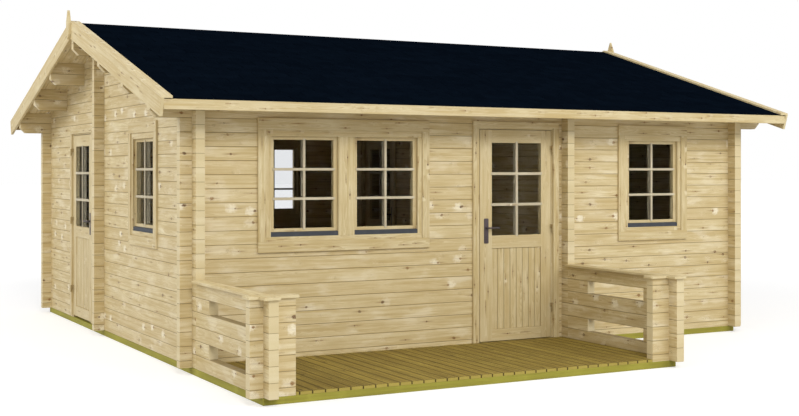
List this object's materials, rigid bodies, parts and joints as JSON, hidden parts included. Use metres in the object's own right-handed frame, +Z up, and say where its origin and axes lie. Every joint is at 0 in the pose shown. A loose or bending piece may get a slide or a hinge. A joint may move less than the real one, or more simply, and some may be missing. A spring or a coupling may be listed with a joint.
{
  "type": "log cabin",
  "caption": "Single-storey log cabin with a low gable roof, crossed log corners, glazed doors and windows, and a railed front terrace.",
  "frame": {"origin": "on the ground at the middle of the house walls' plan, on the underside of the middle ground bearer", "axes": "+X to the right along the front, +Y from the front to the back, +Z up"},
  "size_m": [6.52, 7.012, 3.1658],
  "materials": {
    "pine_logs": "planed softwood logs, unpainted",
    "pine_joinery": "planed softwood, unpainted",
    "pine_trim": "planed softwood, unpainted",
    "roof_boards": "tongued boards, unpainted",
    "floor_boards": "tongued boards, unpainted",
    "treated_bearers": "green pressure-treated softwood",
    "treated_decking": "brown-green pressure-treated softwood",
    "roofing": "matte blue-black bitumen roofing",
    "glass": "clear float glass",
    "sill_metal": "satin grey coated sheet",
    "fittings_metal": "satin grey",
    "hinge_steel": "zinc plated"
  },
  "bodies": {
    "house": {"long_bearers": "treated_bearers", "cross_bearers": "treated_bearers", "house_floor": "floor_boards", "terrace_deck": "treated_decking", "front_wall_left": "pine_logs", "front_wall_right": "pine_logs", "back_wall": "pine_logs", "left_wall_front": "pine_logs", "left_wall_back": "pine_logs", "right_wall": "pine_logs", "gables": "pine_logs", "cross_wall_sides": "pine_logs", "cross_wall_top": "pine_logs", "store_wall_front": "pine_logs", "store_wall_side": "pine_logs", "railings": "pine_logs", "railing_posts": "pine_logs", "railing_caps": "pine_trim", "wall_plates": "pine_logs", "purlins": "pine_logs", "roof_boards_front": "roof_boards", "roof_boards_back": "roof_boards", "roofing_front": "roofing", "roofing_back": "roofing", "eave_fascias": "pine_trim", "bargeboards_front": "pine_trim", "bargeboards_back": "pine_trim", "rake_covers_front": "pine_trim", "rake_covers_back": "pine_trim", "finials": "pine_trim", "window_frames": "pine_joinery", "window_sashes": "pine_joinery", "window_glass": "glass", "window_sills": "sill_metal", "door_frames": "pine_joinery", "hinge_sockets": "hinge_steel"},
    "front_door": {"front_door_leaf": "pine_joinery", "front_door_glass": "glass", "front_door_fittings": "fittings_metal"},
    "store_door": {"store_door_leaf": "pine_joinery", "store_door_glass": "glass", "store_door_fittings": "fittings_metal"},
    "room_door": {"room_door_leaf": "pine_joinery", "room_door_glass": "glass", "room_door_fittings": "fittings_metal"}
  },
  "joints": [
    {"name": "front_door_hinge", "type": "hinge", "parent": "house", "child": "front_door", "pos_m": [0.6155, -2.528, 1], "axis": [0, 0, 1], "range_deg": [0, 90]},
    {"name": "store_door_hinge", "type": "hinge", "parent": "house", "child": "store_door", "pos_m": [-2.893, 1.3775, 1], "axis": [0, 0, -1], "range_deg": [0, 170]},
    {"name": "room_door_hinge", "type": "hinge", "parent": "house", "child": "room_door", "pos_m": [0.838, 1.6525, 1], "axis": [0, 0, 1], "range_deg": [0, 150]}
  ]
}
